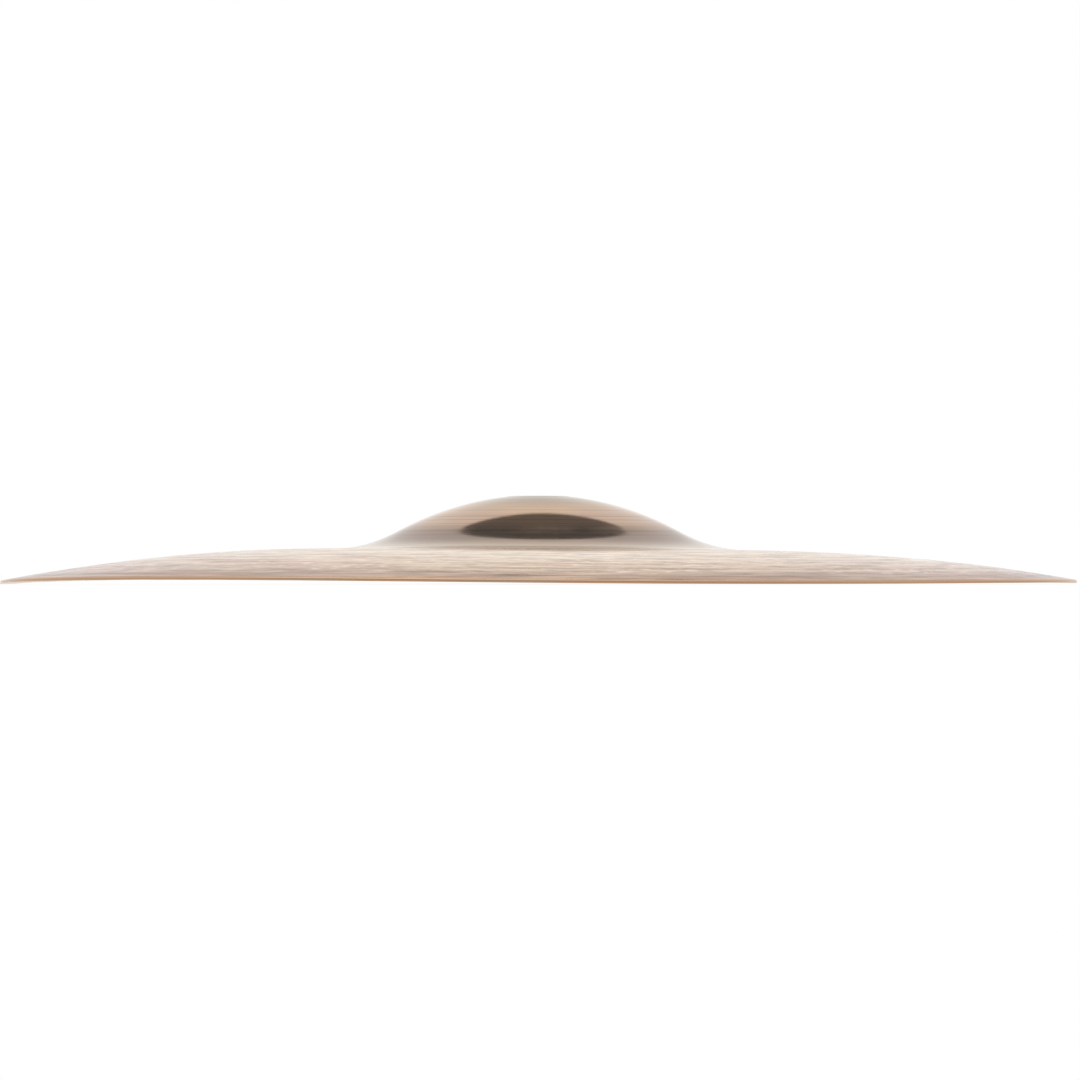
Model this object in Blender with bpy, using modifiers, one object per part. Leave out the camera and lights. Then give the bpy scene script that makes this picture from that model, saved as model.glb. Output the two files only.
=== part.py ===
"""Splash cymbal, 254 mm (10 inch) across: one disc of bronze, pressed, hammered and turned thin.

Metres, +Z up. The origin is the centre of the plane that the rim rests on, and +Z runs up through
the bell along the axis of the disc. The whole disc is one turned shape: a domed bell with the
stand's hole in its crown, a concave root round the bell, and a shallow bow down to the edge.
"""

import math

import bpy

# Driving dimensions of the top surface
DISC_DIAMETER = 0.254
BELL_DIAMETER = 0.100  # at the foot, where the bell's concave root runs out level into the bow
BELL_RISE = 0.0130  # from the bow's highest ring up to the top of the bell's dome
BELL_FLANK_LENGTH = 0.0025  # straight run between the dome and the concave root
BELL_ROOT_RADIUS = 0.0335
BOW_DROP = 0.0069  # from the bow's highest ring down to the edge

# Thickness of the metal, measured square to the top surface
BELL_THICKNESS = 0.0009
BOW_THICKNESS = 0.00085  # at the foot of the bell, from where it thins evenly to the edge
EDGE_THICKNESS = 0.0008

# The hole for the stand's post, and the flat ring round it where the felts press
HOLE_DIAMETER = 0.0125
SEAT_WIDTH = 0.0008
SEAT_SHOULDER_WIDTH = 0.0008  # from the flat ring out to the dome
HOLE_CHAMFER = 0.0002

# The edge's corners, and the narrow flat under it that the disc rests on
EDGE_TOP_CHAMFER = 0.0003
EDGE_LOWER_CHAMFER = 0.00015
REST_LAND_WIDTH = 0.0004

# Fineness of the turned shape
TURN_STEPS = 96
DOME_STEPS = 5
ROOT_STEPS = 4
BOW_STEPS = 8
SEAM_MERGE = 1e-6
SHARP_ANGLE = math.radians(25)

# Lathed bronze
BRONZE_COLOUR = (0.76, 0.58, 0.42, 1.0)
BRONZE_ROUGHNESS = 0.22

DISC_RADIUS = DISC_DIAMETER / 2
FOOT_RADIUS = BELL_DIAMETER / 2
HOLE_RADIUS = HOLE_DIAMETER / 2
SEAT_RADIUS = HOLE_RADIUS + SEAT_WIDTH
DOME_START_RADIUS = SEAT_RADIUS + SEAT_SHOULDER_WIDTH

# The straight flank touches both the dome's circle and the root's circle, and that sets the dome's
# radius: the two circles' centres are the sum of their radii apart across the flank.
RADII_SUM = (FOOT_RADIUS**2 + BELL_RISE**2 - BELL_FLANK_LENGTH**2) / (2 * BELL_RISE)
DOME_RADIUS = RADII_SUM - BELL_ROOT_RADIUS
FLANK_SLOPE = math.atan2(FOOT_RADIUS, RADII_SUM - BELL_RISE) - math.atan2(BELL_FLANK_LENGTH, RADII_SUM)

# The bow is one arc, level at the bell's foot
BOW_WIDTH = DISC_RADIUS - EDGE_TOP_CHAMFER - FOOT_RADIUS
BOW_RADIUS = (BOW_WIDTH**2 + BOW_DROP**2) / (2 * BOW_DROP)
EDGE_SLOPE = math.asin(BOW_WIDTH / BOW_RADIUS)


def spread(first, last, steps):
    """Evenly spaced values from first to last, both of them included."""
    return [first + (last - first) * i / steps for i in range(steps + 1)]


def dome_height(radius):
    return BELL_RISE - DOME_RADIUS + math.sqrt(DOME_RADIUS**2 - radius**2)


def top_stations():
    """(radius, height, slope) down the top surface, from the dome's start to the edge.

    Heights count from the bow's highest ring, and a slope is the angle that the surface falls by.
    """
    stations = []
    for slope in spread(math.asin(DOME_START_RADIUS / DOME_RADIUS), FLANK_SLOPE, DOME_STEPS):
        radius = DOME_RADIUS * math.sin(slope)
        stations.append((radius, dome_height(radius), slope))
    for slope in spread(FLANK_SLOPE, 0.0, ROOT_STEPS):
        radius = FOOT_RADIUS - BELL_ROOT_RADIUS * math.sin(slope)
        stations.append((radius, BELL_ROOT_RADIUS * (1 - math.cos(slope)), slope))
    for slope in spread(0.0, EDGE_SLOPE, BOW_STEPS)[1:]:
        radius = FOOT_RADIUS + BOW_RADIUS * math.sin(slope)
        stations.append((radius, -BOW_RADIUS * (1 - math.cos(slope)), slope))
    return stations


def thickness(radius):
    """Even over the dome, then thinning across the root and again across the bow."""
    dome_edge = DOME_RADIUS * math.sin(FLANK_SLOPE)
    if radius <= dome_edge:
        return BELL_THICKNESS
    if radius <= FOOT_RADIUS:
        share = (radius - dome_edge) / (FOOT_RADIUS - dome_edge)
        return BELL_THICKNESS + share * (BOW_THICKNESS - BELL_THICKNESS)
    share = (radius - FOOT_RADIUS) / BOW_WIDTH
    return BOW_THICKNESS + share * (EDGE_THICKNESS - BOW_THICKNESS)


def underside(station):
    """The point one thickness below a station, square to the surface."""
    radius, height, slope = station
    wall = thickness(radius)
    return radius - wall * math.sin(slope), height - wall * math.cos(slope)


def disc_outline():
    """The closed outline of the metal at +X: out over the top, round the edge and back underneath."""
    stations = top_stations()
    top = [(radius, height) for radius, height, _ in stations]
    under = [underside(station) for station in stations]

    seat_top = dome_height(HOLE_RADIUS)
    seat_under = seat_top - BELL_THICKNESS
    upper_lip = [
        (HOLE_RADIUS, seat_top - HOLE_CHAMFER),
        (HOLE_RADIUS + HOLE_CHAMFER, seat_top),
        (SEAT_RADIUS, seat_top),
    ]
    lower_lip = [
        (SEAT_RADIUS, seat_under),
        (HOLE_RADIUS + HOLE_CHAMFER, seat_under),
        (HOLE_RADIUS, seat_under + HOLE_CHAMFER),
    ]

    # The rest land cuts the sharp lower corner off, back to where the underside reaches its height
    edge_under_radius, edge_under_height = under.pop()
    land_outer = DISC_RADIUS - EDGE_LOWER_CHAMFER
    land_inner = land_outer - REST_LAND_WIDTH
    rest = edge_under_height + (edge_under_radius - land_inner) * math.tan(EDGE_SLOPE)
    edge = [
        (DISC_RADIUS, top[-1][1] - EDGE_TOP_CHAMFER),
        (DISC_RADIUS, rest + EDGE_LOWER_CHAMFER),
        (land_outer, rest),
        (land_inner, rest),
    ]
    outline = upper_lip + top + edge + under[::-1] + lower_lip
    return [(radius, height - rest) for radius, height in outline]


def turned(name, outline):
    """A closed solid from a closed outline at +X, turned about the Z axis."""
    mesh = bpy.data.meshes.new(name)
    count = len(outline)
    corners = [(radius, 0.0, height) for radius, height in outline]
    mesh.from_pydata(corners, [(i, (i + 1) % count) for i in range(count)], [])
    piece = bpy.data.objects.new(name, mesh)
    bpy.context.scene.collection.objects.link(piece)
    screw = piece.modifiers.new("Turned", "SCREW")
    screw.axis = "Z"
    screw.angle = 2 * math.pi
    screw.steps = TURN_STEPS
    screw.render_steps = TURN_STEPS
    screw.use_merge_vertices = True
    screw.merge_threshold = SEAM_MERGE
    return piece


def make_plain_mesh(piece):
    """Puts the modifiers' result in the object's mesh, shaded smooth apart from its sharp corners."""
    graph = bpy.context.evaluated_depsgraph_get()
    mesh = bpy.data.meshes.new_from_object(piece.evaluated_get(graph))
    mesh.name = piece.name
    piece.modifiers.clear()
    piece.data = mesh
    mesh.shade_smooth()
    mesh.set_sharp_from_angle(angle=SHARP_ANGLE)


def metal(name, colour, roughness):
    material = bpy.data.materials.new(name)
    material.use_nodes = True
    shader = material.node_tree.nodes["Principled BSDF"]
    shader.inputs["Base Color"].default_value = colour
    shader.inputs["Metallic"].default_value = 1.0
    shader.inputs["Roughness"].default_value = roughness
    material.diffuse_color = colour
    return material


def clear_scene():
    for old in list(bpy.data.objects):
        bpy.data.objects.remove(old, do_unlink=True)


def main():
    clear_scene()
    parts = bpy.data.collections.new("splash_cymbal")
    bpy.context.scene.collection.children.link(parts)

    disc = turned("cymbal_disc", disc_outline())
    make_plain_mesh(disc)
    disc.data.materials.append(metal("lathed_bronze", BRONZE_COLOUR, BRONZE_ROUGHNESS))
    bpy.context.scene.collection.objects.unlink(disc)
    parts.objects.link(disc)


main()
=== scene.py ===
"""Splash cymbal: the hammered, turned and polished bronze disc, shown on a plain studio floor."""

import math

import bpy
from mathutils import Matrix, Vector


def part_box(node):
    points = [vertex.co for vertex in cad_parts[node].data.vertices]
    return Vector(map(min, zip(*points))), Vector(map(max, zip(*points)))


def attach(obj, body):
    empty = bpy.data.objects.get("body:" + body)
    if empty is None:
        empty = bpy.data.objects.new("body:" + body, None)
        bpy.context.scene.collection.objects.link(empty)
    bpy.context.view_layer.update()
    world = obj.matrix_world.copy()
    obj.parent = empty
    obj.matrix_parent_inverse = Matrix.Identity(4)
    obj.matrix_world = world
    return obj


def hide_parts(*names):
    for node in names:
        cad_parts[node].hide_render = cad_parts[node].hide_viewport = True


bl_info = {
    "name": "Splash Cymbal",
    "version": (1, 0, 0),
    "blender": (4, 5, 0),
    "location": "3D View > Sidebar > Cymbal",
    "description": "Makes a hammered bronze splash cymbal and a plain studio round it",
    "category": "Add Mesh",
}

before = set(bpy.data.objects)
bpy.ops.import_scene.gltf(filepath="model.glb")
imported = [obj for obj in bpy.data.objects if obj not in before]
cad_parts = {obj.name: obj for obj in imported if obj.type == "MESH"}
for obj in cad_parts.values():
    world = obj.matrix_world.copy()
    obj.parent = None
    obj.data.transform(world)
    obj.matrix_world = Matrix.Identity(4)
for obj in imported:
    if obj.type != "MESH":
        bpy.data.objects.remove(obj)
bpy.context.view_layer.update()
DISC_LOW, DISC_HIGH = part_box("cymbal_disc")
FRAME_DIAMETER = DISC_HIGH.x - DISC_LOW.x

# Fineness of the shown disc
TURN_STEPS = 520
LIP_ROUND_STEPS = 3
DOME_STEPS = 18
ROOT_STEPS = 12
BOW_STEPS = 92
UNDERSIDE_STRIDE = 3
EDGE_ROUND_STEPS = 4
SEAM_MERGE = 1e-6
SHARP_ANGLE = math.radians(40)

# The weakest hammer blow against the hardest, and the share of a dent's depth left at the edge
WEAKEST_BLOW = 0.35
BLOW_AT_EDGE = 0.25

# Where each slow wave of the disc stands highest; angles count from +X
WARP_ONE_PHASE = math.radians(-171)
WARP_TWO_PHASE = math.radians(76.6)
WARP_THREE_PHASE = math.radians(-18.5)
# The onefold wave swells from this radius out over the bow, and the rim keeps this share of it
WARP_START_RADIUS = 0.020
WARP_ONE_AT_RIM = 0.4
# The rim's back half mirrors its front half, and they blend where the angle's sine is this small
WARP_FOLD = 0.35

# A noise's values lie round this one
NOISE_MIDDLE = 0.5

# How finely each pattern of the finish changes, per millimetre off the axis and per radian round it
CUTS_PER_MM = 2.4
RINGS_PER_MM = 1.0
BANDS_PER_MM = 0.30
STREAKS_PER_MM = 0.36
STREAKS_PER_RADIAN = 7.0
CLOUDS_PER_MM = 0.12
CLOUDS_PER_RADIAN = 3.0
FLECKS_PER_MM = 0.65
FLECKS_PER_RADIAN = 30.0
PATTERN_ROUGHNESS = 0.6

# Where one finish blends into the next, in metres outwards from the bell's foot
DOME_TO_ROOT = (-0.021, -0.0155)
ROOT_TO_BOW = (-0.004, 0.001)
# Painted shade round the root rises across the first span and fades across the second
ROOT_SHADE_START = (-0.021, -0.015)
ROOT_SHADE_END = (-0.0125, -0.0075)
PALE_START = (-0.014, -0.010)
# The same, from the disc's axis
HOLE_SHADE_END = (0.009, 0.018)
FLECKS_START = (0.074, 0.088)
# The same, from the disc's edge
FLECKS_END = (-0.012, -0.006)
EDGE_START = (-0.00030, -0.00020)
# Heights between which the painted shade on the edge's lower half blends into its bright upper
# corner
EDGE_LOWER_HALF = (0.00036, 0.00052)

# Scales that turn a pattern into a share, a tone or a roughness: its low and high values, and then
# what each of the two gives, where that isn't 0 and 1
POLISH = (0.34, 0.52)
STAIN = (0.38, 0.62)
FLECK = (0.58, 0.70)
RING_TONE = (0.35, 0.65, 0.91, 1.06)
WEAR_TONE = (0.37, 0.61, 0.80, 1.14)
FLECK_TONE = (0.36, 0.64, 0.94, 1.05)
GLINT = (0.35, 0.60, 0.3, 0.8)
DOME_ROUGHNESS = (0.3, 0.7, 0.09, 0.06)
ROOT_ROUGHNESS = (0.3, 0.7, 0.13, 0.09)
BOW_ROUGHNESS = (0.3, 0.7, 0.24, 0.14)

# Shares of one finish over another
# Share of the painted shade round the hole
HOLE_SHADE_SHARE = 0.7
ROOT_PALING = 0.9
STREAKS_IN_WEAR = 0.6
BANDS_IN_WEAR = 0.4
STAIN_TINT = (1.0, 0.96, 0.97)  # the bow is slightly pinker in broad patches
GRAZING_TINT = (1.0, 0.963, 0.897, 1.0)  # bronze keeps some colour where it is seen at a low angle

# Rings of tone by millimetres from the axis: shares of the bell's colour, whose dips at the dome's
# top and at the root are painted shade, and the bow's bronzes
BELL_SHADE = (
    (0.0, 0.52), (12.0, 0.43), (16.0, 0.55), (20.0, 0.69), (24.0, 0.84), (36.0, 0.84), (41.0, 0.64),
    (44.0, 0.58), (45.4, 0.88), (50.0, 0.96),
)
# The bow's rings hold a painted highlight on the crown and painted shade towards the edge
BOW_RINGS = (
    (54.0, "pale_bronze"), (78.0, "crown_bronze_and_highlight"), (92.0, "crown_bronze_and_highlight"), (106.0, "warm_bronze"),
    (118.5, "outer_painted_shade"), (121.0, "mauve_painted_shade"), (124.0, "mauve_painted_shade"), (125.2, "cut_bronze"),
)

# Relief too fine for the mesh, in millimetres
MILLIMETRE = 0.001
BANDS_RELIEF = 0.06
STREAKS_RELIEF = 0.05
CUTS_RELIEF = 0.004
SLOPE_START = 72.5  # from this radius outwards the cuts' outer faces slope
SLOPE_WANDER = 5.0  # the width that this start wanders across, in and out
CUTS_SLOPE = 0.13  # fall of the relief for each millimetre there

# How far the cuts draw a reflection out, and the share of a turn that lays it along the spokes
CUTS_STRETCH = 0.5
ALONG_THE_SPOKES = 0.25

# The floor is part matt, which keeps the shadow, and part glowing, which makes it as white as the
# backdrop. It lies just below the lowest place of the warped rim.
FLOOR_MATT = 0.14
FLOOR_GLOW = 0.90
FLOOR_HEIGHT = -0.00047
FLOOR_REACH = 4.0

SOFTBOX_SIZE = 1.4
SOFTBOX_PLACE = (-0.9, -0.5, 1.5)
SENSOR_WIDTH = 36.0  # in millimetres, as the camera's lens is too

# Brightness of the studio by degrees above the horizon. Behind the disc stands a lit backdrop, with
# a dark ceiling panel over it and open light over that. A narrow strip of the backdrop straight
# behind is the brightest, and round the sides and in front the light changes evenly.
STUDIO_STRIP = (
    (0, 0.97), (8, 1.0), (21, 0.98), (25, 0.93), (28, 0.99), (31, 0.92), (34, 0.97), (41.0, 0.93),
    (41.6, 0.155), (55.8, 0.16), (58.5, 1.0), (90, 1.0),
)
STUDIO_BEHIND = (
    (0, 0.84), (13, 0.86), (41.0, 0.84), (41.6, 0.155), (55.8, 0.16), (58.5, 1.0), (90, 1.0),
)
STUDIO_ROUND = ((0, 0.8), (20, 0.7), (35, 0.56), (45, 0.55), (64, 0.8), (90, 1.0))
STUDIO_FRONT = ((0, 0.52), (25, 0.55), (50, 0.7), (90, 1.0))
SIDE_TINT = (0.985, 0.995, 1.07)  # the backdrop is a little cooler beside the strip
CEILING_SKEW = 0.08  # the ceiling panel's near edge runs a little lower towards the right
# How far round the strip, the backdrop and the front are full, and where they have faded out. The
# strip and the front count from straight behind, and the backdrop from its middle, just left of it.
BEHIND_MIDDLE = math.radians(-2.5)
STRIP_FULL = math.radians(3)
STRIP_NONE = math.radians(9)
BEHIND_FULL = math.radians(17)
BEHIND_NONE = math.radians(22)
FRONT_FULL = math.radians(150)
FRONT_NONE = math.radians(100)


class CymbalDiscSettings(bpy.types.PropertyGroup):
    """Sizes of the turned disc and of the marks that hammer and lathe leave on it."""

    disc_diameter: bpy.props.FloatProperty(
        name="Disc Diameter", description="Across the edge", default=FRAME_DIAMETER, unit="LENGTH"
    )
    bell_diameter: bpy.props.FloatProperty(
        name="Bell Diameter",
        description="Across the foot, where the bell's root runs out into the bow",
        default=0.100,
        unit="LENGTH",
    )
    bell_rise: bpy.props.FloatProperty(
        name="Bell Rise",
        description="Dome above the bow's highest ring",
        default=0.0130,
        unit="LENGTH",
    )
    flank_length: bpy.props.FloatProperty(
        name="Flank Length",
        description="Straight run between the dome and the concave root",
        default=0.0025,
        unit="LENGTH",
    )
    root_radius: bpy.props.FloatProperty(
        name="Root Radius",
        description="Concave curve round the bell",
        default=0.0335,
        unit="LENGTH",
    )
    bow_drop: bpy.props.FloatProperty(
        name="Bow Drop",
        description="Bow's highest ring down to the edge",
        default=0.0069,
        unit="LENGTH",
    )
    bell_thickness: bpy.props.FloatProperty(
        name="Bell Thickness", description="Metal of the bell", default=0.0009, unit="LENGTH"
    )
    bow_thickness: bpy.props.FloatProperty(
        name="Bow Thickness", description="Metal at the bell's foot", default=0.00085, unit="LENGTH"
    )
    edge_thickness: bpy.props.FloatProperty(
        name="Edge Thickness", description="Metal at the edge", default=0.0008, unit="LENGTH"
    )
    hole_diameter: bpy.props.FloatProperty(
        name="Hole Diameter", description="Hole for the stand's post", default=0.0125, unit="LENGTH"
    )
    seat_width: bpy.props.FloatProperty(
        name="Seat Width", description="Flat ring round the hole", default=0.0008, unit="LENGTH"
    )
    shoulder_width: bpy.props.FloatProperty(
        name="Shoulder Width",
        description="From the flat ring out to the dome",
        default=0.0008,
        unit="LENGTH",
    )
    lip_round: bpy.props.FloatProperty(
        name="Lip Round", description="Rounded corners of the hole", default=0.0002, unit="LENGTH"
    )
    edge_top_round: bpy.props.FloatProperty(
        name="Edge Top Round",
        description="Rounded upper corner of the edge",
        default=0.0003,
        unit="LENGTH",
    )
    edge_round: bpy.props.FloatProperty(
        name="Edge Round",
        description="Rounded lower corner of the edge",
        default=0.00015,
        unit="LENGTH",
    )
    rest_land: bpy.props.FloatProperty(
        name="Rest Land", description="Narrow flat under the edge", default=0.0004, unit="LENGTH"
    )
    row_pitch: bpy.props.FloatProperty(
        name="Row Pitch",
        description="From one row of hammer blows to the next",
        default=0.0085,
        unit="LENGTH",
    )
    blow_pitch: bpy.props.FloatProperty(
        name="Blow Pitch",
        description="From blow to blow along a row",
        default=0.0105,
        unit="LENGTH",
    )
    blow_radius: bpy.props.FloatProperty(
        name="Blow Radius", description="Radius of one dent", default=0.0062, unit="LENGTH"
    )
    blow_depth: bpy.props.FloatProperty(
        name="Blow Depth", description="Depth of the deepest dent", default=0.00012, unit="LENGTH"
    )
    blow_scatter: bpy.props.FloatProperty(
        name="Blow Scatter",
        description="How far a blow lands off its row",
        default=0.0026,
        unit="LENGTH",
    )
    band_width: bpy.props.FloatProperty(
        name="Band Width",
        description="Width of the lathe tool's bands",
        default=0.0060,
        unit="LENGTH",
    )
    band_depth: bpy.props.FloatProperty(
        name="Band Depth",
        description="Depth of the lathe tool's bands",
        default=0.000022,
        unit="LENGTH",
    )
    warp_one: bpy.props.FloatProperty(
        name="Onefold Warp",
        description="Rise and fall of the bow, once round",
        default=0.00028,
        unit="LENGTH",
    )
    warp_two: bpy.props.FloatProperty(
        name="Twofold Warp",
        description="Rise and fall of the rim, twice round",
        default=0.00037,
        unit="LENGTH",
    )
    warp_three: bpy.props.FloatProperty(
        name="Threefold Warp",
        description="Rise and fall of the rim, three times round",
        default=0.00040,
        unit="LENGTH",
    )
    seed: bpy.props.IntProperty(
        name="Seed", description="Fixes the scatter of the blows", default=7
    )
    bronze: bpy.props.FloatVectorProperty(
        name="Bronze", description="Polished metal", subtype="COLOR", default=(0.78, 0.535, 0.37)
    )
    dark_bronze: bpy.props.FloatVectorProperty(
        name="Dark Bronze",
        description="Metal in the bottoms of the lathe's grooves",
        subtype="COLOR",
        default=(0.60, 0.40, 0.27),
    )
    # Partly the metal's own tone and partly a painted highlight on the bow's crown
    crown_bronze_and_highlight: bpy.props.FloatVectorProperty(
        name="Light Bronze",
        description="Lightest metal, on the bow's crown",
        subtype="COLOR",
        default=(0.88, 0.765, 0.665),
    )
    warm_bronze: bpy.props.FloatVectorProperty(
        name="Warm Bronze",
        description="Middle of the bow",
        subtype="COLOR",
        default=(0.77, 0.605, 0.485),
    )
    # Painted shade: the darker outer part of the bow
    outer_painted_shade: bpy.props.FloatVectorProperty(
        name="Outer Painted Shade",
        description="Outer part of the bow",
        subtype="COLOR",
        default=(0.67, 0.50, 0.40),
    )
    # Painted glints: small bright flecks on the outer bow
    painted_glint_bronze: bpy.props.FloatVectorProperty(
        name="Painted Glint Bronze",
        description="Small flecks rubbed clear of tarnish",
        subtype="COLOR",
        default=(1.0, 0.92, 0.78),
    )
    # Painted shade round the bell's root and round the hole
    root_and_hole_shade: bpy.props.FloatVectorProperty(
        name="Root And Hole Shade",
        description="Metal round the bell's root and where the felts rub",
        subtype="COLOR",
        default=(0.42, 0.31, 0.24),
    )
    pale_bronze: bpy.props.FloatVectorProperty(
        name="Pale Bronze",
        description="Greyer metal between the bell's root and the bow's crown",
        subtype="COLOR",
        default=(0.70, 0.555, 0.455),
    )
    # Painted shade: the darker mauve ring just inside the edge
    mauve_painted_shade: bpy.props.FloatVectorProperty(
        name="Mauve Bronze",
        description="Dark tarnish in a ring just inside the edge",
        subtype="COLOR",
        default=(0.49, 0.345, 0.265),
    )
    cut_bronze: bpy.props.FloatVectorProperty(
        name="Cut Bronze",
        description="Bow right beside the edge",
        subtype="COLOR",
        default=(0.66, 0.40, 0.25),
    )
    # Painted shade: the darker colour of the edge's lower half
    edge_painted_shade: bpy.props.FloatVectorProperty(
        name="Edge Painted Shade",
        description="Darkened metal of the edge's lower half",
        subtype="COLOR",
        default=(0.49, 0.31, 0.19),
    )


class CymbalStageSettings(bpy.types.PropertyGroup):
    """Where the camera stands, and how bright the plain studio is."""

    camera_distance: bpy.props.FloatProperty(
        name="Camera Distance", description="From the disc's axis", default=1.3, unit="LENGTH"
    )
    eye_height: bpy.props.FloatProperty(
        name="Eye Height",
        description="Camera above the plane of the rim",
        default=0.0015,
        unit="LENGTH",
    )
    aim_height: bpy.props.FloatProperty(
        name="Aim Height",
        description="Where the middle of the picture meets the axis",
        default=0.0100,
        unit="LENGTH",
    )
    aim_side: bpy.props.FloatProperty(
        name="Aim Side",
        description="Middle of the picture to the right of the axis",
        default=0.00036,
        unit="LENGTH",
    )
    picture_width: bpy.props.FloatProperty(
        name="Picture Width",
        description="Width of the view at the disc's axis",
        default=0.2559,
        unit="LENGTH",
    )
    white: bpy.props.FloatVectorProperty(
        name="White", description="Floor and backdrop", subtype="COLOR", default=(1.0, 1.0, 1.0)
    )
    softbox_power: bpy.props.FloatProperty(
        name="Softbox Power", description="Watts of the softbox overhead", default=2.0
    )


def spread(first, last, steps):
    """Evenly spaced values from first to last, both of them included."""
    return [first + (last - first) * i / steps for i in range(steps + 1)]


def corner(centre, radius, first, last, steps):
    """Points of a rounded corner; angles count from straight up, clockwise."""
    return [
        (centre[0] + radius * math.sin(turn), centre[1] + radius * math.cos(turn))
        for turn in spread(first, last, steps)
    ]


class DiscShape:
    """The disc's radial section, worked out from its sizes.

    Heights count from the bow's highest ring, and a slope is the angle that the surface falls by.
    """

    def __init__(self, sizes):
        self.sizes = sizes
        self.disc_radius = sizes.disc_diameter / 2
        self.foot_radius = sizes.bell_diameter / 2
        self.hole_radius = sizes.hole_diameter / 2
        rise, flank = sizes.bell_rise, sizes.flank_length
        radii_sum = (self.foot_radius**2 + rise**2 - flank**2) / (2 * rise)
        self.dome_radius = radii_sum - sizes.root_radius
        # The straight flank touches both the dome's circle and the root's circle
        foot_angle = math.atan2(self.foot_radius, radii_sum - rise)
        self.flank_slope = foot_angle - math.atan2(flank, radii_sum)
        self.bow_width = self.disc_radius - sizes.edge_top_round - self.foot_radius
        self.bow_radius = (self.bow_width**2 + sizes.bow_drop**2) / (2 * sizes.bow_drop)
        self.edge_slope = math.asin(self.bow_width / self.bow_radius)

    def dome_height(self, radius):
        return self.sizes.bell_rise - self.dome_radius + math.sqrt(self.dome_radius**2 - radius**2)

    def thickness(self, radius):
        """Even over the dome, then thinning across the root and again across the bow."""
        sizes = self.sizes
        dome_edge = self.dome_radius * math.sin(self.flank_slope)
        if radius <= dome_edge:
            return sizes.bell_thickness
        if radius <= self.foot_radius:
            share = (radius - dome_edge) / (self.foot_radius - dome_edge)
            return sizes.bell_thickness + share * (sizes.bow_thickness - sizes.bell_thickness)
        share = (radius - self.foot_radius) / self.bow_width
        return sizes.bow_thickness + share * (sizes.edge_thickness - sizes.bow_thickness)

    def stations(self):
        """(radius, height, slope) down the top surface, from the dome's start to the edge."""
        found = []
        start = self.hole_radius + self.sizes.seat_width + self.sizes.shoulder_width
        for slope in spread(math.asin(start / self.dome_radius), self.flank_slope, DOME_STEPS):
            radius = self.dome_radius * math.sin(slope)
            found.append((radius, self.dome_height(radius), slope))
        for slope in spread(self.flank_slope, 0.0, ROOT_STEPS):
            radius = self.foot_radius - self.sizes.root_radius * math.sin(slope)
            found.append((radius, self.sizes.root_radius * (1 - math.cos(slope)), slope))
        for slope in spread(0.0, self.edge_slope, BOW_STEPS)[1:]:
            radius = self.foot_radius + self.bow_radius * math.sin(slope)
            found.append((radius, -self.bow_radius * (1 - math.cos(slope)), slope))
        return found

    def underside(self, station):
        """The point one thickness below a station, square to the surface."""
        radius, height, slope = station
        wall = self.thickness(radius)
        return radius - wall * math.sin(slope), height - wall * math.cos(slope)

    def outline(self):
        """The closed outline at +X: out over the top, round the edge and back underneath."""
        sizes = self.sizes
        stations = self.stations()
        top = [(radius, height) for radius, height, _ in stations]
        last_under = self.underside(stations[-1])
        under = [self.underside(station) for station in stations[:-1:UNDERSIDE_STRIDE]]

        quarter = math.pi / 2
        seat_top = self.dome_height(self.hole_radius)
        seat_under = seat_top - sizes.bell_thickness
        seat_radius = self.hole_radius + sizes.seat_width
        lip_centre = self.hole_radius + sizes.lip_round
        lip = sizes.lip_round
        steps = LIP_ROUND_STEPS
        upper_lip = corner((lip_centre, seat_top - lip), lip, -quarter, 0.0, steps)
        lower_lip = corner((lip_centre, seat_under + lip), lip, -2 * quarter, -quarter, steps)

        land_outer = self.disc_radius - sizes.edge_round
        land_inner = land_outer - sizes.rest_land
        rest = last_under[1] + (last_under[0] - land_inner) * math.tan(self.edge_slope)
        steps = EDGE_ROUND_STEPS
        lower = sizes.edge_round
        lower_edge = corner((land_outer, rest + lower), lower, quarter, 2 * quarter, steps)
        # The upper corner's arc starts along the bow's own slope
        upper = sizes.edge_top_round
        upper_centre = (top[-1][0], top[-1][1] - upper / math.cos(self.edge_slope))
        upper_edge = corner(upper_centre, upper, self.edge_slope, quarter, steps)

        outline = upper_lip + [(seat_radius, seat_top)] + top + upper_edge + lower_edge
        outline += [(land_inner, rest)] + under[::-1] + [(seat_radius, seat_under)] + lower_lip
        return [(radius, height - rest) for radius, height in outline]


def node(tree, kind, inputs=None, **settings):
    """A new node with its settings, and each input either linked to a socket or given a value."""
    made = tree.nodes.new(kind)
    for key, value in settings.items():
        setattr(made, key, value)
    for key, value in (inputs or {}).items():
        if isinstance(value, bpy.types.NodeSocket):
            tree.links.new(value, made.inputs[key])
        else:
            made.inputs[key].default_value = value
    return made


def calc(tree, operation, *values):
    return node(tree, "ShaderNodeMath", dict(enumerate(values)), operation=operation).outputs[0]


def smooth_range(tree, value, low, high, start=0.0, end=1.0):
    made = node(
        tree,
        "ShaderNodeMapRange",
        {"Value": value, "From Min": low, "From Max": high, "To Min": start, "To Max": end},
        interpolation_type="SMOOTHSTEP",
    )
    return made.outputs["Result"]


def blend_number(tree, share, first, second):
    """first where share is 0, second where it is 1; each may be a number or a socket."""
    return calc(tree, "MULTIPLY_ADD", calc(tree, "SUBTRACT", second, first), share, first)


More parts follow.
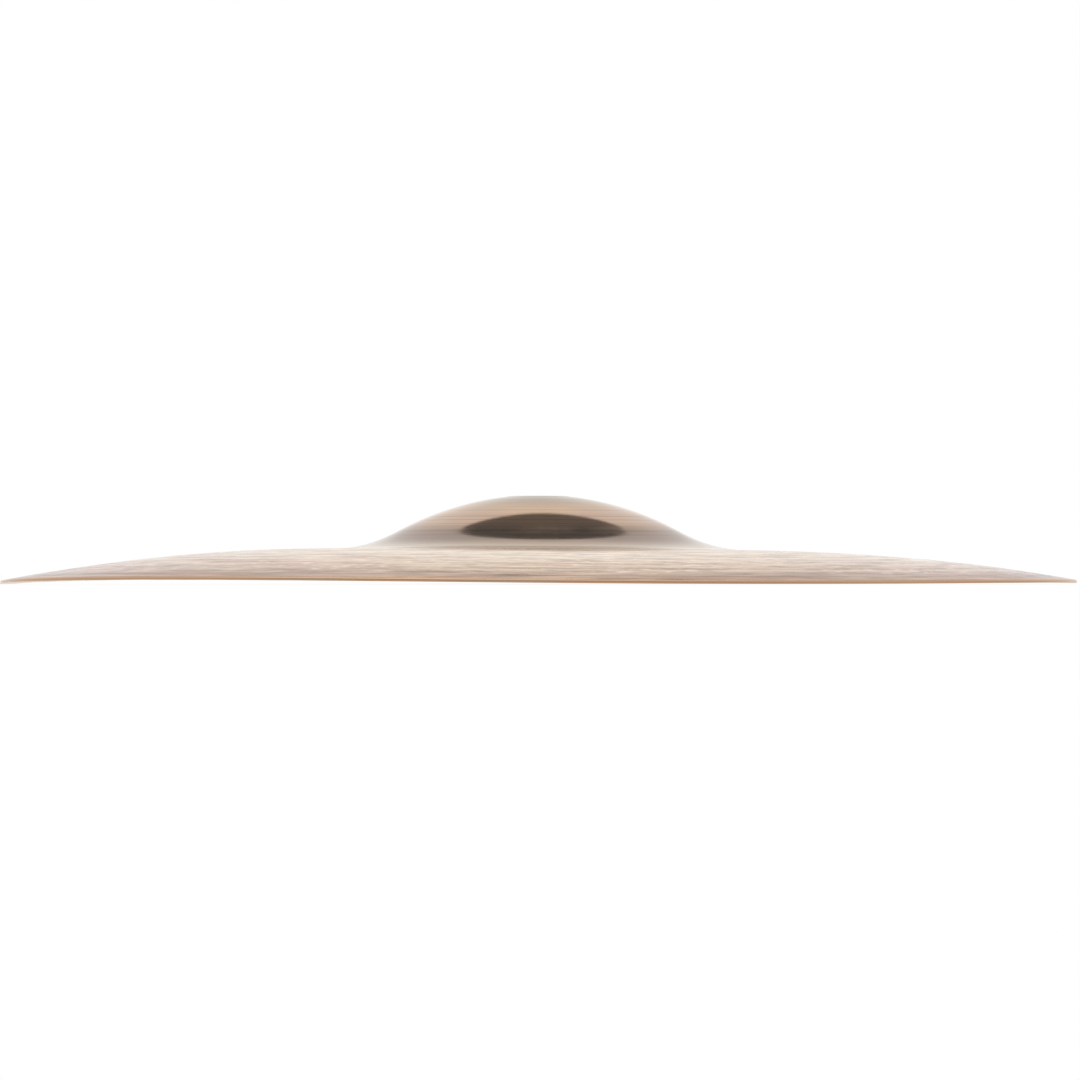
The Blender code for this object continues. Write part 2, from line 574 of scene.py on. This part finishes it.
def mix_colour(tree, share, first, second):
    """A Mix node keeps sockets for every kind of data; those for colour are the ones used here."""
    made = node(tree, "ShaderNodeMix", data_type="RGBA")
    sockets = (made.inputs[0], made.inputs[6], made.inputs[7])
    for socket, value in zip(sockets, (share, first, second)):
        if isinstance(value, bpy.types.NodeSocket):
            tree.links.new(value, socket)
        else:
            socket.default_value = value
    return made.outputs[2]


def scaled(tree, triple, factor):
    """A colour or a vector, times a number or another triple."""
    is_triple = isinstance(factor, tuple) or getattr(factor, "type", "VALUE") != "VALUE"
    inputs = {0: triple, 1: factor} if is_triple else {0: triple, "Scale": factor}
    operation = "MULTIPLY" if is_triple else "SCALE"
    return node(tree, "ShaderNodeVectorMath", inputs, operation=operation).outputs[0]


def polar(tree, position):
    """(radius, angle, flattened position) of a point round the Z axis."""
    flat = scaled(tree, position, (1.0, 1.0, 0.0))
    radius = node(tree, "ShaderNodeVectorMath", {0: flat}, operation="LENGTH").outputs["Value"]
    parts = node(tree, "ShaderNodeSeparateXYZ", {0: position})
    angle = calc(tree, "ARCTAN2", parts.outputs["Y"], parts.outputs["X"])
    return radius, angle, flat


def blow_points(tree, ends):
    """Points where the hammer lands: even steps along a spiral, from the bell to the edge."""
    swept = calc(tree, "MULTIPLY", ends["Row Pitch"], ends["Blow Pitch"])
    per_blow = calc(tree, "DIVIDE", swept, math.pi)
    inner_square = calc(tree, "POWER", ends["Inner Radius"], 2.0)
    outer_square = calc(tree, "POWER", ends["Outer Radius"], 2.0)
    ring = calc(tree, "SUBTRACT", outer_square, inner_square)
    count = calc(tree, "DIVIDE", ring, per_blow)
    index = node(tree, "GeometryNodeInputIndex").outputs[0]
    radius = calc(tree, "SQRT", calc(tree, "MULTIPLY_ADD", index, per_blow, inner_square))
    outwards = calc(tree, "SUBTRACT", radius, ends["Inner Radius"])
    turns = calc(tree, "DIVIDE", outwards, ends["Row Pitch"])
    angle = calc(tree, "MULTIPLY", turns, 2 * math.pi)
    spot = node(
        tree,
        "ShaderNodeCombineXYZ",
        {
            "X": calc(tree, "MULTIPLY", radius, calc(tree, "COSINE", angle)),
            "Y": calc(tree, "MULTIPLY", radius, calc(tree, "SINE", angle)),
        },
    ).outputs[0]
    jitter = node(
        tree,
        "FunctionNodeRandomValue",
        {"Min": (-1.0, -1.0, 0.0), "Max": (1.0, 1.0, 0.0), "Seed": ends["Seed"]},
        data_type="FLOAT_VECTOR",
    ).outputs["Value"]
    scattered = scaled(tree, jitter, ends["Blow Scatter"])
    place = node(tree, "ShaderNodeVectorMath", {0: spot, 1: scattered}, operation="ADD").outputs[0]
    return node(tree, "GeometryNodePoints", {"Count": count, "Position": place}).outputs[0]


def hammering(tree, ends, flat, radius):
    """Depth of the dents at a place on the disc, growing shallow close to the edge."""
    points = blow_points(tree, ends)
    distance = node(
        tree,
        "GeometryNodeProximity",
        {0: points, "Source Position": flat},
        target_element="POINTS",
    ).outputs["Distance"]
    nearest = node(
        tree, "GeometryNodeSampleNearest", {0: points, "Sample Position": flat}
    ).outputs[0]
    force = node(
        tree,
        "FunctionNodeRandomValue",
        {"Min": WEAKEST_BLOW, "Max": 1.0, "Seed": calc(tree, "ADD", ends["Seed"], 1)},
        data_type="FLOAT",
    )
    # The node has an output for every kind of data, and only one of them is in use
    force_value = [out for out in force.outputs if out.enabled and out.type == "VALUE"][0]
    blow_force = node(
        tree,
        "GeometryNodeSampleIndex",
        {"Geometry": points, "Value": force_value, "Index": nearest},
        data_type="FLOAT",
        domain="POINT",
    ).outputs[0]
    share = calc(tree, "DIVIDE", distance, ends["Blow Radius"])
    left = calc(tree, "SUBTRACT", 1.0, calc(tree, "POWER", share, 2.0))
    cup = calc(tree, "POWER", calc(tree, "MAXIMUM", left, 0.0), 2.0)
    dent = calc(tree, "MULTIPLY", calc(tree, "MULTIPLY", cup, blow_force), ends["Blow Depth"])
    fade_start = calc(tree, "SUBTRACT", ends["Outer Radius"], ends["Blow Radius"])
    edge_fade = smooth_range(tree, radius, fade_start, ends["Outer Radius"], 1.0, BLOW_AT_EDGE)
    return calc(tree, "MULTIPLY", dent, edge_fade)


def turning_bands(tree, ends, radius):
    """The lathe tool's shallow bands, the same all the way round."""
    along = calc(tree, "DIVIDE", radius, ends["Band Width"])
    noise = node(
        tree,
        "ShaderNodeTexNoise",
        {"W": along, "Scale": 1.0, "Detail": 1.0},
        noise_dimensions="1D",
    ).outputs[0]
    depth = calc(tree, "DIVIDE", ends["Band Depth"], NOISE_MIDDLE)
    return calc(tree, "MULTIPLY", calc(tree, "SUBTRACT", noise, NOISE_MIDDLE), depth)


def wave(tree, angle, folds, phase, depth):
    """A wave that runs a whole number of times round the disc."""
    turned = calc(tree, "MULTIPLY", calc(tree, "SUBTRACT", angle, phase), float(folds))
    return calc(tree, "MULTIPLY", calc(tree, "COSINE", turned), depth)


def slow_warp(tree, ends, radius, angle):
    """The slow rise and fall that hammering leaves in the bow and the rim."""
    rim_share = calc(tree, "POWER", calc(tree, "DIVIDE", radius, ends["Outer Radius"]), 2.0)
    run = calc(tree, "SUBTRACT", ends["Outer Radius"], WARP_START_RADIUS)
    gone = calc(tree, "DIVIDE", calc(tree, "SUBTRACT", radius, WARP_START_RADIUS), run)
    gone = calc(tree, "MINIMUM", calc(tree, "MAXIMUM", gone, 0.0), 1.0)
    bow_share = calc(tree, "POWER", calc(tree, "SINE", calc(tree, "MULTIPLY", gone, math.pi)), 2.0)
    one_share = calc(tree, "MULTIPLY_ADD", rim_share, WARP_ONE_AT_RIM, bow_share)
    once_round = wave(tree, angle, 1, WARP_ONE_PHASE, ends["Onefold Warp"])
    one = calc(tree, "MULTIPLY", once_round, one_share)
    halves = []
    for side in (angle, calc(tree, "MULTIPLY", angle, -1.0)):
        two = wave(tree, side, 2, WARP_TWO_PHASE, ends["Twofold Warp"])
        three = wave(tree, side, 3, WARP_THREE_PHASE, ends["Threefold Warp"])
        halves.append(calc(tree, "ADD", two, three))
    back = smooth_range(tree, calc(tree, "SINE", angle), -WARP_FOLD, WARP_FOLD)
    return calc(tree, "MULTIPLY_ADD", blend_number(tree, back, *halves), rim_share, one)


def disc_tree():
    """Geometry Nodes that hammer, band and warp a turned disc along Z."""
    tree = bpy.data.node_groups.new("hammered_disc", "GeometryNodeTree")
    tree.interface.new_socket("Geometry", in_out="OUTPUT", socket_type="NodeSocketGeometry")
    tree.interface.new_socket("Geometry", in_out="INPUT", socket_type="NodeSocketGeometry")
    lengths = (
        "Inner Radius", "Outer Radius", "Row Pitch", "Blow Pitch", "Blow Radius", "Blow Depth",
        "Blow Scatter", "Band Width", "Band Depth", "Onefold Warp", "Twofold Warp",
        "Threefold Warp",
    )
    for name in lengths:
        tree.interface.new_socket(name, in_out="INPUT", socket_type="NodeSocketFloat")
    tree.interface.new_socket("Seed", in_out="INPUT", socket_type="NodeSocketInt")
    tree.interface.new_socket("Metal", in_out="INPUT", socket_type="NodeSocketMaterial")

    ends = node(tree, "NodeGroupInput").outputs
    position = node(tree, "GeometryNodeInputPosition").outputs[0]
    radius, angle, flat = polar(tree, position)
    dents = hammering(tree, ends, flat, radius)
    bands = turning_bands(tree, ends, radius)
    shaped = calc(tree, "ADD", bands, slow_warp(tree, ends, radius, angle))
    rise = calc(tree, "SUBTRACT", shaped, dents)
    lift = node(tree, "ShaderNodeCombineXYZ", {"Z": rise}).outputs[0]
    # The height before hammering and warping is kept, because the painted shade on the edge's lower
    # half follows it
    height = node(tree, "ShaderNodeSeparateXYZ", {0: position}).outputs["Z"]
    marked = node(
        tree,
        "GeometryNodeStoreNamedAttribute",
        {"Geometry": ends["Geometry"], "Name": "turned_height", "Value": height},
        data_type="FLOAT",
        domain="POINT",
    ).outputs[0]
    moved = node(tree, "GeometryNodeSetPosition", {"Geometry": marked, "Offset": lift}).outputs[0]
    real = node(tree, "GeometryNodeRealizeInstances", {0: moved}).outputs[0]
    done = node(tree, "GeometryNodeSetMaterial", {"Geometry": real, "Material": ends["Metal"]})
    node(tree, "NodeGroupOutput", {0: done.outputs[0]})
    return tree


def ring_noise(tree, millimetres, per_millimetre, detail=2.0):
    """Noise that changes only with the distance from the axis, as the lathe's cuts do."""
    along = calc(tree, "MULTIPLY", millimetres, per_millimetre)
    inputs = {"W": along, "Scale": 1.0, "Detail": detail, "Roughness": PATTERN_ROUGHNESS}
    return node(tree, "ShaderNodeTexNoise", inputs, noise_dimensions="1D").outputs[0]


def streak_noise(tree, flat, millimetres, per_millimetre, per_radian, detail=3.0):
    """Noise drawn out round the disc: narrow across the cuts and long beside them."""
    spoke = node(tree, "ShaderNodeVectorMath", {0: flat}, operation="NORMALIZE").outputs[0]
    round_about = scaled(tree, spoke, per_radian)
    outwards = calc(tree, "MULTIPLY", millimetres, per_millimetre)
    upright = node(tree, "ShaderNodeCombineXYZ", {"Z": outwards}).outputs[0]
    place = node(
        tree, "ShaderNodeVectorMath", {0: round_about, 1: upright}, operation="ADD"
    ).outputs[0]
    inputs = {"Vector": place, "Scale": 1.0, "Detail": detail, "Roughness": PATTERN_ROUGHNESS}
    return node(tree, "ShaderNodeTexNoise", inputs).outputs[0]


def ramp(tree, share, stops):
    """Greys or colours by a share of the way to the last stop, changing evenly between stops."""
    made = node(tree, "ShaderNodeValToRGB", {0: share})
    elements = made.color_ramp.elements
    while len(elements) < len(stops):
        elements.new(1.0)
    for element, (at, tone) in zip(elements, stops):
        colour = (tone,) * 3 if isinstance(tone, (int, float)) else tone
        element.position = at / stops[-1][0]
        element.color = (*colour, 1.0)
    return made.outputs[0]


def ring_tones(tree, millimetres, stops):
    """A tone by the distance from the axis."""
    return ramp(tree, calc(tree, "DIVIDE", millimetres, stops[-1][0]), stops)


class BronzeFinish:
    """Turned bronze: the patterns and zones that its colour, roughness and relief share."""

    def __init__(self, tree, settings):
        self.tree = tree
        self.settings = settings
        self.foot = settings.bell_diameter / 2
        self.edge = settings.disc_diameter / 2
        position = node(tree, "ShaderNodeTexCoord").outputs["Object"]
        self.radius, _, flat = polar(tree, position)
        along = calc(tree, "MULTIPLY", self.radius, 1 / MILLIMETRE)
        self.millimetres = along
        self.cuts = ring_noise(tree, along, CUTS_PER_MM)
        self.rings = ring_noise(tree, along, RINGS_PER_MM)
        self.bands = ring_noise(tree, along, BANDS_PER_MM, detail=3.0)
        self.streaks = streak_noise(tree, flat, along, STREAKS_PER_MM, STREAKS_PER_RADIAN)
        self.clouds = streak_noise(tree, flat, along, CLOUDS_PER_MM, CLOUDS_PER_RADIAN, detail=1.0)
        self.flecks = streak_noise(tree, flat, along, FLECKS_PER_MM, FLECKS_PER_RADIAN, detail=1.0)
        self.off_dome = self.blend(self.foot, DOME_TO_ROOT)
        self.on_bow = self.blend(self.foot, ROOT_TO_BOW)

    def blend(self, origin, zone, start=0.0, end=1.0):
        """From start to end across a zone that counts outwards from a radius."""
        first, last = origin + zone[0], origin + zone[1]
        return smooth_range(self.tree, self.radius, first, last, start, end)

    def on_scale(self, pattern, scale):
        return smooth_range(self.tree, pattern, *scale)

    def metal(self, name):
        """One of the settings' colours, for a colour socket."""
        return (*getattr(self.settings, name), 1.0)

    def bell_colour(self):
        """A polished dome, darkened by painted shade round the hole and at its root, and paler
        towards the bow.
        """
        tree = self.tree
        polish = self.on_scale(self.rings, POLISH)
        bell = mix_colour(tree, polish, self.metal("dark_bronze"), self.metal("bronze"))
        paling = calc(tree, "MULTIPLY", self.blend(self.foot, PALE_START), ROOT_PALING)
        bell = mix_colour(tree, paling, bell, self.metal("pale_bronze"))
        # Painted shade at the root and round the hole
        root_start = self.blend(self.foot, ROOT_SHADE_START)
        root = calc(tree, "MULTIPLY", root_start, self.blend(self.foot, ROOT_SHADE_END, 1.0, 0.0))
        near_hole_shade = calc(tree, "MULTIPLY", self.blend(0.0, HOLE_SHADE_END, 1.0, 0.0), HOLE_SHADE_SHARE)
        shade_mask = calc(tree, "MAXIMUM", root, near_hole_shade)
        bell = mix_colour(tree, shade_mask, bell, self.metal("root_and_hole_shade"))
        # Painted shade in rings over the bell
        return scaled(tree, bell, ring_tones(tree, self.millimetres, BELL_SHADE))

    def bow_colour(self):
        """Rings of tone broken by streaks, with painted glints in small flecks."""
        tree = self.tree
        stops = [(at, getattr(self.settings, name)) for at, name in BOW_RINGS]
        streaks = calc(tree, "MULTIPLY", self.streaks, STREAKS_IN_WEAR)
        wear = calc(tree, "ADD", streaks, calc(tree, "MULTIPLY", self.bands, BANDS_IN_WEAR))
        # Rings of tone, with a painted highlight on the crown and painted shade towards the edge
        bow = ring_tones(tree, self.millimetres, stops)
        bow = scaled(tree, bow, self.on_scale(wear, WEAR_TONE))
        stain = self.on_scale(self.clouds, STAIN)
        bow = mix_colour(tree, stain, bow, scaled(tree, bow, STAIN_TINT))
        bow = scaled(tree, bow, self.on_scale(self.flecks, FLECK_TONE))
        # Painted glints in the flecks of the outer bow
        glint = calc(
            tree, "MULTIPLY", self.on_scale(self.flecks, FLECK), self.blend(0.0, FLECKS_START)
        )
        glint = calc(tree, "MULTIPLY", glint, self.on_scale(self.clouds, GLINT))
        glint = calc(tree, "MULTIPLY", glint, self.blend(self.edge, FLECKS_END, 1.0, 0.0))
        return mix_colour(tree, glint, bow, self.metal("painted_glint_bronze"))

    def colour(self):
        """Bell, bow and edge; the edge's lower half is darkened by painted shade."""
        tree = self.tree
        toned = mix_colour(tree, self.on_bow, self.bell_colour(), self.bow_colour())
        ring_tone = self.on_scale(self.rings, RING_TONE)
        toned = scaled(tree, toned, blend_number(tree, self.off_dome, 1.0, ring_tone))
        height = node(tree, "ShaderNodeAttribute", attribute_name="turned_height").outputs["Fac"]
        # Painted shade on the edge's lower half
        lower_half = smooth_range(tree, height, *EDGE_LOWER_HALF, 1.0, 0.0)
        edge = mix_colour(tree, lower_half, self.metal("bronze"), self.metal("edge_painted_shade"))
        return mix_colour(tree, self.blend(self.edge, EDGE_START), toned, edge)

    def roughness(self):
        """The dome is buffed bright, and its root and the bow keep the lathe's duller finish."""
        dome = self.on_scale(self.cuts, DOME_ROUGHNESS)
        root = self.on_scale(self.streaks, ROOT_ROUGHNESS)
        bow = self.on_scale(self.streaks, BOW_ROUGHNESS)
        return blend_number(
            self.tree, self.on_bow, blend_number(self.tree, self.off_dome, dome, root), bow
        )

    def relief(self):
        """Height in millimetres: fine cuts, the bow's bands and streaks, and the cuts' slope."""
        tree = self.tree
        bands = calc(tree, "MULTIPLY", self.bands, BANDS_RELIEF)
        bow = calc(tree, "ADD", bands, calc(tree, "MULTIPLY", self.streaks, STREAKS_RELIEF))
        cuts = calc(tree, "MULTIPLY", self.cuts, CUTS_RELIEF)
        height = calc(tree, "MULTIPLY_ADD", bow, self.on_bow, cuts)
        wander = calc(tree, "SUBTRACT", self.clouds, NOISE_MIDDLE)
        place = calc(tree, "MULTIPLY_ADD", wander, SLOPE_WANDER, self.millimetres)
        past_start = calc(tree, "MAXIMUM", calc(tree, "SUBTRACT", place, SLOPE_START), 0.0)
        return calc(tree, "MULTIPLY_ADD", past_start, -CUTS_SLOPE, height)


def bronze_material(settings):
    material = bpy.data.materials.new("lathed_bronze")
    material.use_nodes = True
    tree = material.node_tree
    inputs = tree.nodes["Principled BSDF"].inputs
    finish = BronzeFinish(tree, settings)
    tree.links.new(finish.colour(), inputs["Base Color"])
    tree.links.new(finish.roughness(), inputs["Roughness"])
    inputs["Metallic"].default_value = 1.0
    inputs["Specular Tint"].default_value = GRAZING_TINT
    # The cuts run round the disc, so they blur a reflection along the spokes
    inputs["Anisotropic"].default_value = CUTS_STRETCH
    inputs["Anisotropic Rotation"].default_value = ALONG_THE_SPOKES
    tangent = node(tree, "ShaderNodeTangent", direction_type="RADIAL", axis="Z").outputs[0]
    tree.links.new(tangent, inputs["Tangent"])
    relief = {"Height": finish.relief(), "Strength": 1.0, "Distance": MILLIMETRE}
    tree.links.new(node(tree, "ShaderNodeBump", relief).outputs[0], inputs["Normal"])
    return material


def turn(context, name, outline):
    """A closed solid from a closed outline at +X, turned about the Z axis."""
    mesh = bpy.data.meshes.new(name)
    count = len(outline)
    points = [(radius, 0.0, height) for radius, height in outline]
    mesh.from_pydata(points, [(i, (i + 1) % count) for i in range(count)], [])
    piece = bpy.data.objects.new(name, mesh)
    context.scene.collection.objects.link(piece)
    screw = piece.modifiers.new("Turned", "SCREW")
    screw.axis = "Z"
    screw.angle = 2 * math.pi
    screw.steps = TURN_STEPS
    screw.render_steps = TURN_STEPS
    screw.use_merge_vertices = True
    screw.merge_threshold = SEAM_MERGE
    return piece


def hammer(disc, shape, metal):
    """Adds the hammer blows, the bands and the slow warp, and sets the metal."""
    sizes = shape.sizes
    modifier = disc.modifiers.new("Hammered", "NODES")
    modifier.node_group = disc_tree()
    values = {
        "Inner Radius": shape.foot_radius + sizes.blow_radius / 2,
        "Outer Radius": shape.disc_radius,
        "Row Pitch": sizes.row_pitch,
        "Blow Pitch": sizes.blow_pitch,
        "Blow Radius": sizes.blow_radius,
        "Blow Depth": sizes.blow_depth,
        "Blow Scatter": sizes.blow_scatter,
        "Band Width": sizes.band_width,
        "Band Depth": sizes.band_depth,
        "Onefold Warp": sizes.warp_one,
        "Twofold Warp": sizes.warp_two,
        "Threefold Warp": sizes.warp_three,
        "Seed": sizes.seed,
        "Metal": metal,
    }
    for item in modifier.node_group.interface.items_tree:
        if item.in_out == "INPUT" and item.name in values:
            modifier[item.identifier] = values[item.name]


def make_plain(context, piece):
    """Puts the modifiers' result in the object's mesh, shaded smooth apart from its corners."""
    outline_mesh = piece.data
    graph = context.evaluated_depsgraph_get()
    finished = bpy.data.meshes.new_from_object(piece.evaluated_get(graph))
    finished.name = piece.name
    piece.modifiers.clear()
    piece.data = finished
    bpy.data.meshes.remove(outline_mesh)
    finished.shade_smooth()
    finished.set_sharp_from_angle(angle=SHARP_ANGLE)


class CYMBAL_OT_make_disc(bpy.types.Operator):
    """Turn the disc from its outline, hammer it, and finish it in polished bronze"""

    bl_idname = "cymbal.make_disc"
    bl_label = "Make Disc"

    def execute(self, context):
        settings = context.scene.cymbal_disc
        shape = DiscShape(settings)
        disc = turn(context, "turned_disc", shape.outline())
        hammer(disc, shape, bronze_material(settings))
        make_plain(context, disc)

        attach(disc, "root")
        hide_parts("cymbal_disc")
        return {"FINISHED"}


def seen_directly(tree):
    """1 for a ray that shows the floor, to the camera or in metal, and 0 for one that lights."""
    path = node(tree, "ShaderNodeLightPath").outputs
    mirrored = calc(tree, "MAXIMUM", path["Is Glossy Ray"], path["Is Transmission Ray"])
    return calc(tree, "MAXIMUM", path["Is Camera Ray"], mirrored)


def floor_material(white):
    """Pale floor, white to the camera and in the metal, apart from the disc's shadow on it."""
    material = bpy.data.materials.new("pale_floor")
    material.use_nodes = True
    tree = material.node_tree
    tree.nodes.clear()
    matt_white = (*[FLOOR_MATT * part for part in white], 1.0)
    matt = node(tree, "ShaderNodeBsdfDiffuse", {"Color": matt_white}).outputs[0]
    light = {"Color": (*white, 1.0), "Strength": FLOOR_GLOW}
    glow = node(tree, "ShaderNodeEmission", light).outputs[0]
    seen = node(tree, "ShaderNodeAddShader", {0: matt, 1: glow}).outputs[0]
    lit = node(tree, "ShaderNodeMixShader", {0: seen_directly(tree), 1: matt, 2: seen}).outputs[0]
    # From below the floor isn't there, so the underside of the disc can be looked at
    clear = node(tree, "ShaderNodeBsdfTransparent").outputs[0]
    back = node(tree, "ShaderNodeNewGeometry").outputs["Backfacing"]
    one_sided = node(tree, "ShaderNodeMixShader", {0: back, 1: lit, 2: clear}).outputs[0]
    node(tree, "ShaderNodeOutputMaterial", {"Surface": one_sided})
    return material


def sky_tones(tree, elevation, stops):
    """A brightness by the angle above the horizon."""
    return ramp(tree, calc(tree, "DIVIDE", elevation, math.pi / 2), stops)


def studio_world(white):
    """Soft light all round, a dark ceiling panel behind, and plain white to the camera."""
    world = bpy.data.worlds.new("studio")
    world.use_nodes = True
    tree = world.node_tree
    tree.nodes.clear()
    direction = node(tree, "ShaderNodeTexCoord").outputs["Generated"]
    parts = node(tree, "ShaderNodeSeparateXYZ", {0: direction}).outputs
    elevation = calc(tree, "ARCSINE", parts["Z"])
    to_the_right = calc(tree, "ARCTAN2", parts["X"], parts["Y"])
    azimuth = calc(tree, "ABSOLUTE", to_the_right)
    off_middle = calc(tree, "ABSOLUTE", calc(tree, "SUBTRACT", to_the_right, BEHIND_MIDDLE))
    skewed = calc(tree, "MULTIPLY_ADD", to_the_right, CEILING_SKEW, elevation)
    behind = smooth_range(tree, off_middle, BEHIND_FULL, BEHIND_NONE, 1.0, 0.0)
    strip = smooth_range(tree, azimuth, STRIP_FULL, STRIP_NONE, 1.0, 0.0)
    front = smooth_range(tree, azimuth, FRONT_NONE, FRONT_FULL)
    sides = sky_tones(tree, elevation, STUDIO_ROUND)
    around = mix_colour(tree, front, sides, sky_tones(tree, elevation, STUDIO_FRONT))
    beside = scaled(tree, sky_tones(tree, skewed, STUDIO_BEHIND), SIDE_TINT)
    backdrop = mix_colour(tree, strip, beside, sky_tones(tree, skewed, STUDIO_STRIP))
    level = mix_colour(tree, behind, around, backdrop)
    light = node(tree, "ShaderNodeBackground", {"Color": level, "Strength": 1.0}).outputs[0]
    plain = node(tree, "ShaderNodeBackground", {"Color": (*white, 1.0), "Strength": 1.0}).outputs[0]
    path = node(tree, "ShaderNodeLightPath").outputs
    open_view = calc(tree, "MAXIMUM", path["Is Camera Ray"], path["Is Transmission Ray"])
    seen = node(tree, "ShaderNodeMixShader", {0: open_view, 1: light, 2: plain}).outputs[0]
    node(tree, "ShaderNodeOutputWorld", {"Surface": seen})
    return world


class CYMBAL_OT_make_stage(bpy.types.Operator):
    """Make the pale floor, the soft studio light and the camera at the edge's own height"""

    bl_idname = "cymbal.make_stage"
    bl_label = "Make Stage"

    def execute(self, context):
        scene = context.scene
        settings = scene.cymbal_stage
        scene.world = studio_world(settings.white)

        mesh = bpy.data.meshes.new("floor")
        signs = ((-1, -1), (1, -1), (1, 1), (-1, 1))
        corners = [(x * FLOOR_REACH, y * FLOOR_REACH, FLOOR_HEIGHT) for x, y in signs]
        mesh.from_pydata(corners, [], [(0, 1, 2, 3)])
        mesh.materials.append(floor_material(settings.white))
        floor = bpy.data.objects.new("floor", mesh)
        scene.collection.objects.link(floor)

        lamp = bpy.data.lights.new("softbox", "AREA")
        lamp.shape = "SQUARE"
        lamp.size = SOFTBOX_SIZE
        lamp.energy = settings.softbox_power
        softbox = bpy.data.objects.new("softbox", lamp)
        softbox.location = SOFTBOX_PLACE
        softbox.rotation_euler = (-Vector(SOFTBOX_PLACE)).to_track_quat("-Z", "Y").to_euler()
        scene.collection.objects.link(softbox)

        lens = bpy.data.cameras.new("camera")
        lens.sensor_width = SENSOR_WIDTH
        lens.lens = SENSOR_WIDTH * settings.camera_distance / settings.picture_width
        camera = bpy.data.objects.new("camera", lens)
        camera.location = (settings.aim_side, -settings.camera_distance, settings.eye_height)
        aim = Vector((settings.aim_side, 0.0, settings.aim_height))
        camera.rotation_euler = (aim - camera.location).to_track_quat("-Z", "Y").to_euler()
        scene.collection.objects.link(camera)
        scene.camera = camera
        scene.view_settings.view_transform = "Standard"
        return {"FINISHED"}


class CYMBAL_PT_sidebar(bpy.types.Panel):
    """The cymbal's pieces, in the order they are made"""

    bl_label = "Splash Cymbal"
    bl_idname = "CYMBAL_PT_sidebar"
    bl_space_type = "VIEW_3D"
    bl_region_type = "UI"
    bl_category = "Cymbal"

    def draw(self, context):
        layout = self.layout
        for settings, operator in (
            (context.scene.cymbal_disc, CYMBAL_OT_make_disc),
            (context.scene.cymbal_stage, CYMBAL_OT_make_stage),
        ):
            box = layout.box()
            box.operator(operator.bl_idname)
            for name in settings.__annotations__:
                box.prop(settings, name)


CLASSES = (
    CymbalDiscSettings,
    CymbalStageSettings,
    CYMBAL_OT_make_disc,
    CYMBAL_OT_make_stage,
    CYMBAL_PT_sidebar,
)


def register():
    for kind in CLASSES:
        bpy.utils.register_class(kind)
    bpy.types.Scene.cymbal_disc = bpy.props.PointerProperty(type=CymbalDiscSettings)
    bpy.types.Scene.cymbal_stage = bpy.props.PointerProperty(type=CymbalStageSettings)


def unregister():
    del bpy.types.Scene.cymbal_stage
    del bpy.types.Scene.cymbal_disc
    for kind in reversed(CLASSES):
        bpy.utils.unregister_class(kind)


def main():
    register()
    bpy.ops.cymbal.make_disc()
    bpy.ops.cymbal.make_stage()


if __name__ == "__main__":
    main()
